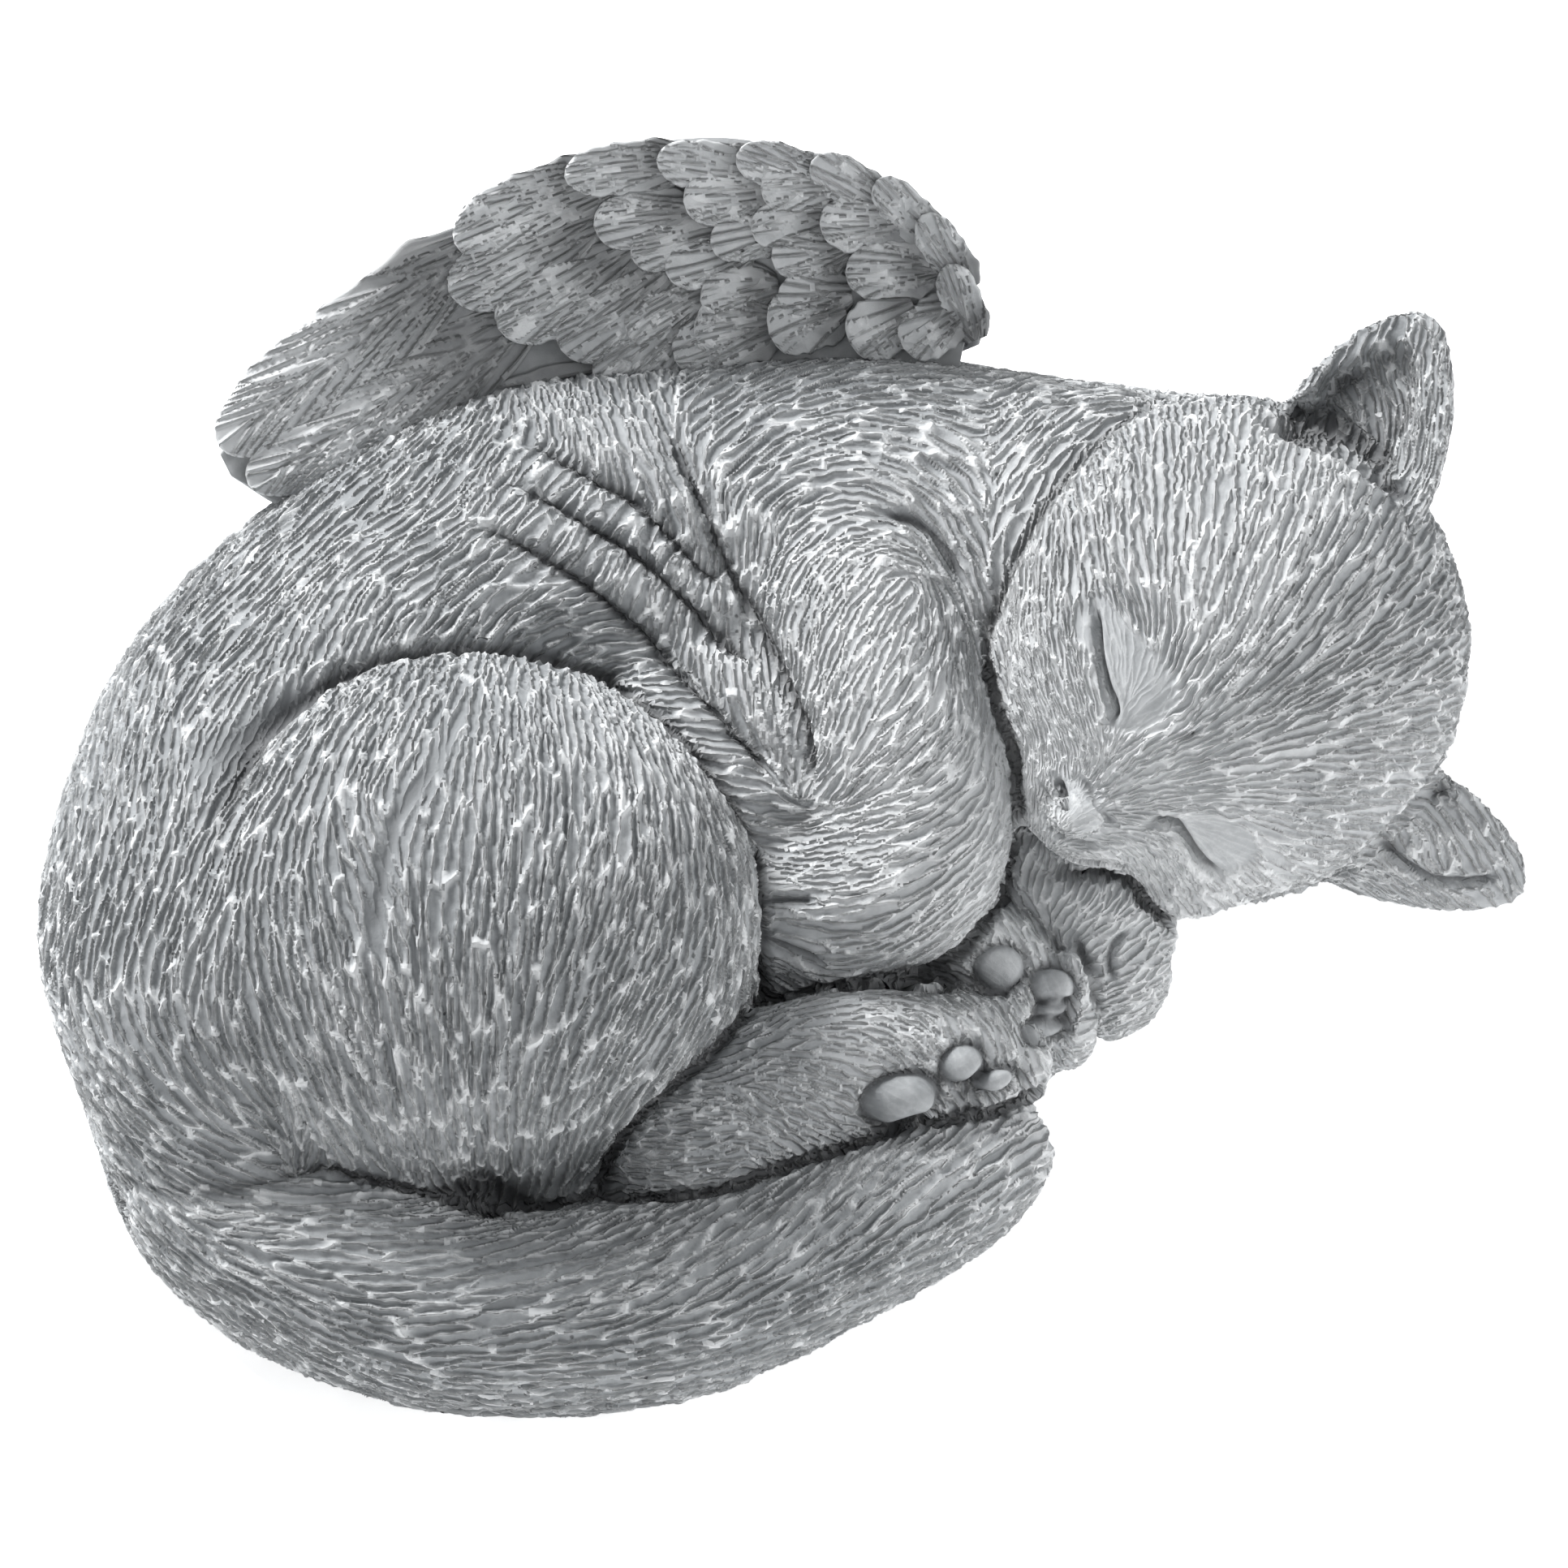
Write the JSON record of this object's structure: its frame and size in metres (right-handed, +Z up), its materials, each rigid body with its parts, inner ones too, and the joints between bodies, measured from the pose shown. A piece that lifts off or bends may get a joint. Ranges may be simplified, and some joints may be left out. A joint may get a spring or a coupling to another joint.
{
  "type": "pet memorial statue",
  "caption": "Kitten asleep on its side in a curl, tail round its feet, with angel wings folded up behind its back, cast in one piece with a flat underside.",
  "frame": {"origin": "middle of the footprint's bounding rectangle, on the ground", "axes": "+X along the statue's length towards the kitten's head, +Y towards its back and wings, +Z up"},
  "size_m": [0.2576, 0.2093, 0.0949],
  "materials": {
    "cast_stone": "matt cool grey, lighter where ridges are dry-brushed"
  },
  "bodies": {
    "root": {"sleeping_kitten": "cast_stone"}
  },
  "joints": []
}
